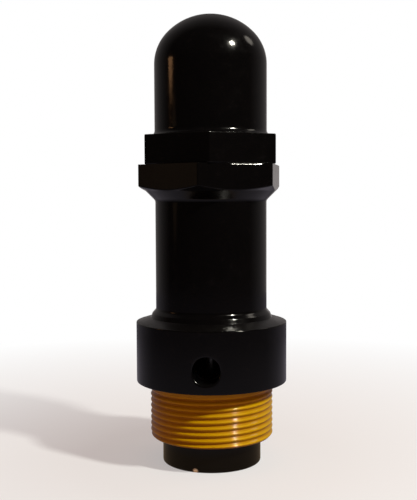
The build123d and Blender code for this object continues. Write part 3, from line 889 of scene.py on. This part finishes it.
def make_stem():
    """Turned stem: M8 end in the head, shank through the bush, stop collar, and M10 end for the nuts."""
    end = STEM_END_RISE + STEM_CHAMFER / 2
    thread_top = STEM_TOP - STEM_CHAMFER
    outline = softened([
        (0.0, STEM_END_RISE), (STEM_END - STEM_CHAMFER / 2, STEM_END_RISE),
        *wall(STEM_END, end, STEM_END_THREAD_TOP, round((STEM_END_THREAD_TOP - end) / STEM_ROW)),
        (STEM_END, SEAL_PLATE_TOP), (STEM, SEAL_PLATE_TOP, 0.2), (STEM, STOP_BOTTOM),
        (STOP, STOP_BOTTOM, 0.4), (STOP, STOP_TOP, 0.4), (STEM, STOP_TOP, 0.5),
        *wall(STEM, STEM_THREAD_FOOT, thread_top, round((STEM_TOP - STEM_THREAD_FOOT) / STEM_ROW)),
        (STEM - STEM_CHAMFER, STEM_TOP, 0.2), (0.0, STEM_TOP),
    ])
    mesh = mesh_of(grid(columns(count=72), lambda angle: outline, closed=False))
    mesh = threaded(mesh, "stainless_steel", {
        "Radius": STEM_END, "Pitch": STEM_END_PITCH, "Depth": 0.65, "Foot": end,
        "Top": STEM_END_THREAD_TOP - 0.1, "Full at": 6.0, "Gone at": 7.6})
    mesh = threaded(mesh, "stainless_steel", {
        "Radius": STEM, "Pitch": STEM_PITCH, "Depth": 0.8, "Foot": STEM_THREAD_FOOT, "Top": thread_top,
        "Full at": STEM_THREAD_FOOT + 2, "Gone at": STEM_THREAD_FOOT})
    piece("valve_stem", mesh, "stem", "poppet", "stainless_steel", smooth_below=50.0)


def make_nut(name, node, body, flats, bore, bottom, top):
    """Hexagon nut, both faces chamfered, so that each flat ends in an arc."""
    face = flats / 2 * NUT_FACE_SHARE
    sink = NUT_COUNTERSINK

    def outline(angle):
        corner = hexagon_radius(angle, flats, 0.0)
        fall = (corner - face) * NUT_CHAMFER
        return softened_ring([
            (bore, (bottom + top) / 2), (bore, bottom + sink, 0.2), (bore + sink, bottom, 0.2),
            (face, bottom, 0.25), (corner, bottom + fall, 0.2), (corner, top - fall, 0.2),
            (face, top, 0.25), (bore + sink, top, 0.2), (bore, top - sink, 0.2),
        ], steps=2)

    mesh = mesh_of(grid(columns(count=96, hexagon_turn=0.0), outline))
    piece(name, mesh, node, body, "plated_steel")


def make_split_washer(name, node, body, outer, bore, bottom, top):
    """Split washer: a ring swept from one side of its slanting slot round to the other."""
    section = softened_ring(ring_corners(bore, outer, bottom, top, 0.2))
    slant = math.radians(WASHER_SLOT_TURN)
    shape = bmesh.new()
    rows = []
    for step in range(WASHER_STEPS + 1):
        row = []
        for radius, z in section:
            square = radius ** 2 - (outer * math.sin(slant)) ** 2
            run = outer * math.cos(slant) - math.sqrt(square) if radius < outer else 0.0
            middle = math.atan2(-run * math.sin(slant), outer - run * math.cos(slant))
            gap = math.asin(WASHER_SLOT / 2 / radius)
            angle = middle + gap + (2 * math.pi - 2 * gap) * step / WASHER_STEPS
            row += round_axis(shape, [(radius, z)], angle)
        rows.append(row)
    piece(name, mesh_of(swept(shape, rows)), node, body, "plated_steel")


def make_split_pin():
    """Split pin: half-round wire folded into an eye, both halves through the stem, their ends bent apart."""
    bend = PIN_BEND_RADIUS
    half = [(PIN_BEND, PIN_LEG)]
    for turn in PIN_BEND_ANGLES:
        half.append((PIN_BEND - bend + bend * math.cos(turn), bend + PIN_GAP - bend * math.sin(turn)))
    half += [(x, PIN_GAP) for x in PIN_STRAIGHT]
    sweep = 2 * math.pi - 2 * PIN_EYE_MOUTH
    turns = [PIN_EYE_MOUTH + sweep * step / PIN_EYE_STEPS for step in range(PIN_EYE_STEPS + 1)]
    eye = [(PIN_EYE_CENTRE + PIN_EYE * math.cos(turn), PIN_EYE * math.sin(turn)) for turn in turns]
    path = half + eye + [(x, -z) for x, z in reversed(half)]
    shape = bmesh.new()
    rows = []
    for i, (x, z) in enumerate(path):
        ahead, behind = path[min(i + 1, len(path) - 1)], path[max(i - 1, 0)]
        way = (ahead[0] - behind[0], ahead[1] - behind[1])
        length = math.hypot(*way)
        side = (way[1] / length, -way[0] / length)
        row = []
        for step in range(WIRE_STEPS + 1):
            turn = math.pi * step / WIRE_STEPS
            out, across = PIN_WIRE * math.sin(turn), PIN_WIRE * math.cos(turn)
            place = (x + side[0] * out, across, PIN_HEIGHT + z + side[1] * out)
            row.append(shape.verts.new([c * MM for c in place]))
        rows.append(row)
    mesh = mesh_of(swept(shape, rows))
    piece("split_pin_wire", mesh, "split_pin", "poppet", "plated_steel", smooth_below=50.0)


def make_bush():
    bore = STEM + RUNNING_GAP
    turned("stem_guide_bush", [
        (bore, 52.0), (bore, BUSH_BOTTOM, 0.4), (BUSH, BUSH_BOTTOM, 0.5), (BUSH, WEB_TOP),
        (BUSH_FLANGE, WEB_TOP, 0.1), (BUSH_FLANGE, BUSH_TOP, 0.4), (bore, BUSH_TOP, 0.4),
    ], "guide_bush", "housing", "bronze")


def make_spring_plate():
    bore = STEM + RUNNING_GAP
    turned("upper_spring_plate", [
        (bore, 119.0), (bore, PLATE_BOSS_BOTTOM, 0.4),
        (PLATE_BOSS - PLATE_BOSS_BEVEL, PLATE_BOSS_BOTTOM, 0.3),
        (PLATE_BOSS, PLATE_BOSS_BOTTOM + PLATE_BOSS_BEVEL, 0.3), (PLATE_BOSS, SPRING_TOP, 0.3),
        (PLATE, SPRING_TOP, 0.4), (PLATE, PLATE_TOP, 0.5), (bore, PLATE_TOP, 0.3),
    ], "spring_plate", "upper_plate", "plated_steel", count=128)


def make_o_ring():
    """O-ring with the faint parting line of its mould."""
    section = []
    for i in range(RING_SIDES):
        turn = 2 * math.pi * i / RING_SIDES
        radius = RING_SECTION - (0.0 if i % (RING_SIDES // 2) == 0 else RING_FLASH)
        section.append((RING_MIDDLE + radius * math.cos(turn), RING_HEIGHT + radius * math.sin(turn)))
    mesh = mesh_of(grid(columns(count=144), lambda angle: section))
    piece("cap_o_ring", mesh, "cap_seal_ring", "cap_ring", "nitrile")


# Spring

def spring_tree():
    """Geometry nodes that wind a compression spring with closed ends, ground flat."""
    tree = bpy.data.node_groups.new("compression_spring", "GeometryNodeTree")
    face = tree.interface
    for name in ("Coil radius", "Wire radius", "Turns", "Closed pitch", "Sink", "Bottom", "Top"):
        face.new_socket(name, in_out="INPUT", socket_type="NodeSocketFloat")
    face.new_socket("Steps per turn", in_out="INPUT", socket_type="NodeSocketInt")
    face.new_socket("Finish", in_out="INPUT", socket_type="NodeSocketMaterial")
    face.new_socket("Geometry", in_out="OUTPUT", socket_type="NodeSocketGeometry")
    node = partial(add, tree)
    given = node("NodeGroupInput").node.outputs

    # The wire's middle line, then lifted by the closed pitch in the first and last turn, evenly between
    line = node("GeometryNodeCurveSpiral", {
        "Resolution": given["Steps per turn"], "Rotations": given["Turns"],
        "Start Radius": given["Coil radius"], "End Radius": given["Coil radius"], "Height": 0.01})
    count = node("GeometryNodeSplineParameter", out="Index")
    turns = node(MATH, (count, given["Steps per turn"]), operation="DIVIDE")
    active = node(MATH, (given["Turns"], 2.0), operation="SUBTRACT")
    first = node(MATH, (turns, 1.0), operation="MINIMUM")
    last_from = node(MATH, (active, 1.0), operation="ADD")
    last = node(MATH, (node(MATH, (turns, last_from), operation="SUBTRACT"), 0.0), operation="MAXIMUM")
    wound = node(MATH, (node(MATH, (turns, 1.0), operation="SUBTRACT"), active), operation="DIVIDE")
    share = node(RANGE, (wound, 0.0, 1.0, 0.0, 1.0))
    length = node(MATH, (given["Top"], given["Bottom"]), operation="SUBTRACT")
    one_end = node(MATH, (given["Sink"], given["Closed pitch"]), operation="ADD")
    ends = node(MATH, (one_end, 2.0), operation="MULTIPLY")
    at_ends = node(MATH, (first, last), operation="ADD")
    closed = node(MATH, (at_ends, given["Closed pitch"]), operation="MULTIPLY")
    open_length = node(MATH, (length, ends), operation="SUBTRACT")
    between = node(MATH, (share, open_length), operation="MULTIPLY")
    climb = node(MATH, (closed, between), operation="ADD")
    start = node(MATH, (given["Bottom"], given["Sink"]), operation="ADD")
    height = node(MATH, (start, climb), operation="ADD")
    spot = node(SPLIT, (node("GeometryNodeInputPosition"),)).node.outputs
    lifted = node(JOIN, (spot[0], spot[1], height))
    line = node("GeometryNodeSetPosition", {"Geometry": line, "Position": lifted})

    # The round wire, ground flat at both ends
    section = node("GeometryNodeCurvePrimitiveCircle", {"Resolution": 18, "Radius": given["Wire radius"]})
    wire = node("GeometryNodeCurveToMesh", {"Curve": line, "Profile Curve": section, "Fill Caps": True})
    spot = node(SPLIT, (node("GeometryNodeInputPosition"),)).node.outputs
    under_top = node(MATH, (spot[2], given["Top"]), operation="MINIMUM")
    level = node(MATH, (under_top, given["Bottom"]), operation="MAXIMUM")
    ground = node(JOIN, (spot[0], spot[1], level))
    wire = node("GeometryNodeSetPosition", {"Geometry": wire, "Position": ground})
    real = node("GeometryNodeRealizeInstances", {"Geometry": wire})
    coated = node("GeometryNodeSetMaterial", {"Geometry": real, "Material": given["Finish"]})
    node("NodeGroupOutput", {"Geometry": coated})
    return tree


def make_spring():
    mesh = made_by_nodes(spring_tree(), {
        "Coil radius": COIL * MM, "Wire radius": WIRE * MM, "Turns": float(SPRING_TURNS),
        "Closed pitch": CLOSED_PITCH * MM, "Sink": TIP_SINK * MM, "Bottom": SPRING_BOTTOM * MM,
        "Top": SPRING_TOP * MM, "Steps per turn": 36, "Finish": FINISH["spring_steel"]})
    spring = piece("coil_spring", mesh, "spring", "housing", "spring_steel", smooth_below=50.0)
    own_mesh(spring)


# All pieces

make_body()
make_cap()
make_nipple()
make_head()
make_seat()
make_seal()
make_seal_plate()
make_stem()
make_nut("stem_end_nut", "head_nut", "poppet", HEAD_NUT_FLATS, STEM_END, HEAD_NUT_BOTTOM, HEAD_WASHER_BOTTOM)
make_split_washer(
    "stem_end_washer", "head_washer", "poppet", HEAD_WASHER, STEM_END, HEAD_WASHER_BOTTOM, HEAD_RECESS_ROOF)
make_split_pin()
make_bush()
turned(
    "hardened_seat_washer", ring_corners(*SPRING_WASHER, WEB_TOP, SPRING_BOTTOM),
    "spring_washer", "housing", "plated_steel")
make_spring()
make_spring_plate()
turned(
    "nut_thrust_washer", ring_corners(STEM + RUNNING_GAP, THRUST_WASHER, PLATE_TOP, NUT_BOTTOM),
    "thrust_washer", "upper_plate", "plated_steel")
make_nut(
    "spring_setting_nut", "adjusting_nut", "setting_nut", NUT_FLATS, STEM + RUNNING_GAP,
    NUT_BOTTOM, LOCK_WASHER_BOTTOM)
make_split_washer(
    "spring_lock_washer", "lock_washer", "lock_ring", LOCK_WASHER, STEM + RUNNING_GAP,
    LOCK_WASHER_BOTTOM, LOCK_NUT_BOTTOM)
make_nut(
    "thin_lock_nut", "lock_nut", "jam_nut", NUT_FLATS, STEM + RUNNING_GAP, LOCK_NUT_BOTTOM, LOCK_NUT_TOP)
make_o_ring()


# Camera, light and stage, in metres

def make_camera():
    data = bpy.data.cameras.new("camera")
    data.lens = LENS
    data.clip_start = 0.01
    camera = linked("camera", data)
    azimuth, yaw = math.radians(CAMERA_AZIMUTH), math.radians(CAMERA_YAW)
    pitch, roll = math.radians(CAMERA_PITCH), math.radians(CAMERA_ROLL)
    turn = Matrix.Rotation(azimuth + yaw, 4, "Z")
    turn = turn @ Matrix.Rotation(math.pi / 2 - pitch, 4, "X") @ Matrix.Rotation(roll, 4, "Z")
    place = (CAMERA_DISTANCE * math.sin(azimuth), -CAMERA_DISTANCE * math.cos(azimuth), CAMERA_HEIGHT)
    camera.matrix_world = Matrix.Translation(place) @ turn
    bpy.context.scene.camera = camera


def lamp(name, azimuth, elevation, size, power, colour, tall=None):
    """A round or oval lamp that looks at the middle of the valve."""
    data = bpy.data.lights.new(name, "AREA")
    data.shape = "ELLIPSE"
    data.size = size
    data.size_y = tall or size
    data.energy = power
    data.color = linear(colour)[:3]
    around, up = math.radians(azimuth), math.radians(elevation)
    ahead = LAMP_DISTANCE * math.cos(up)
    place = (ahead * math.sin(around), -ahead * math.cos(around), LAMP_AIM + LAMP_DISTANCE * math.sin(up))
    turn = Matrix.Rotation(around, 4, "Z") @ Matrix.Rotation(math.pi / 2 - up, 4, "X")
    linked(name, data).matrix_world = Matrix.Translation(place) @ turn


def make_world():
    """A dark studio with a warm fill, white to the camera.

    The paint mirrors a dusk that rises towards the back, with a pale card right behind the valve.
    """
    world = bpy.data.worlds.new("studio")
    bpy.context.scene.world = world
    node = cleared(world)
    ray = node("ShaderNodeLightPath").node.outputs
    behind = node(SPLIT, (node("ShaderNodeTexCoord"),), out="Y")
    card = node(RANGE, (behind, 0.92, 0.97, 0.0, 0.25))
    dusk = node(RANGE, (behind, 0.0, 0.8, 0.02, 0.18))
    shown = node(MATH, (card, dusk), operation="ADD")
    room = node("ShaderNodeBackground", {"Color": "#F7EEEC", "Strength": shown})
    fill = node("ShaderNodeBackground", {"Color": "#FFB998", "Strength": 0.32})
    white = node("ShaderNodeBackground", {"Color": "#FFFFFF", "Strength": 1.0})
    mirrored = node("ShaderNodeMixShader", (ray["Is Glossy Ray"], fill, room))
    backdrop = node("ShaderNodeMixShader", (ray["Is Camera Ray"], mirrored, white))
    node("ShaderNodeOutputWorld", {"Surface": backdrop})


def make_floor():
    """Pale round floor that turns white away from the valve; the paint mirrors a painted, glowing pool around
    it.

    The paper is tan to bounced light, which then warms the valve from below.
    """
    mesh = bpy.data.meshes.new("floor")
    shape = bmesh.new()
    bmesh.ops.create_circle(shape, cap_ends=True, segments=96, radius=FLOOR_RADIUS)
    shape.to_mesh(mesh)
    shape.free()
    floor = linked("floor", mesh)
    material = bpy.data.materials.new("pale_paper_floor")
    node = cleared(material)
    place = node("ShaderNodeTexCoord", out="Object")
    away = node(VECTOR, (place,), out="Value", operation="LENGTH")
    ray = node("ShaderNodeLightPath").node.outputs
    tone = node(MIX, {0: ray["Is Camera Ray"], 6: "#A08060", 7: "#E2E7EE"}, **COLOURS)
    paper = node("ShaderNodeBsdfDiffuse", {"Color": tone})
    # Painted light: a pool that glows round the valve, seen only by reflections, warmer near it and stronger
    # behind
    lit = node(RANGE, (away, 0.08, 0.32, 0.18, 0.06))
    behind = node(RANGE, (node(SPLIT, (place,), out="Y"), 0.0, 0.2, 1.0, 2.2))
    strength = node(MATH, (lit, behind), operation="MULTIPLY")
    tint = node(MIX, {0: node(RANGE, (away, 0.035, 0.06, 0.0, 1.0)), 6: "#F5D4B0", 7: "#EFE6F5"}, **COLOURS)
    painted_light_pool = node("ShaderNodeEmission", {"Color": tint, "Strength": strength})
    white = node("ShaderNodeEmission", {"Color": "#FFFFFF", "Strength": 1.0})
    mirrored = node("ShaderNodeMixShader", (ray["Is Glossy Ray"], paper, painted_light_pool))
    whiter = node(RANGE, (away, 0.05, 0.3, 0.4, 1.0))
    far = node(MATH, (whiter, ray["Is Camera Ray"]), operation="MULTIPLY")
    node("ShaderNodeOutputMaterial", {"Surface": node("ShaderNodeMixShader", (far, mirrored, white))})
    mesh.materials.append(material)


make_camera()
make_world()
make_floor()
lamp("key_lamp", azimuth=56, elevation=42, size=0.11, power=14, colour="#FFFAEC")
lamp("side_lamp", azimuth=112, elevation=40, size=0.3, power=0.42, colour="#FFF6E8")
lamp("left_wall_lamp", azimuth=-74, elevation=3, size=0.25, power=0.034, colour="#A88A6C")
lamp("left_strip_lamp", azimuth=-83, elevation=12.4, size=0.25, power=0.23, colour="#D9A06F", tall=0.12)
bpy.context.scene.view_settings.view_transform = "Standard"
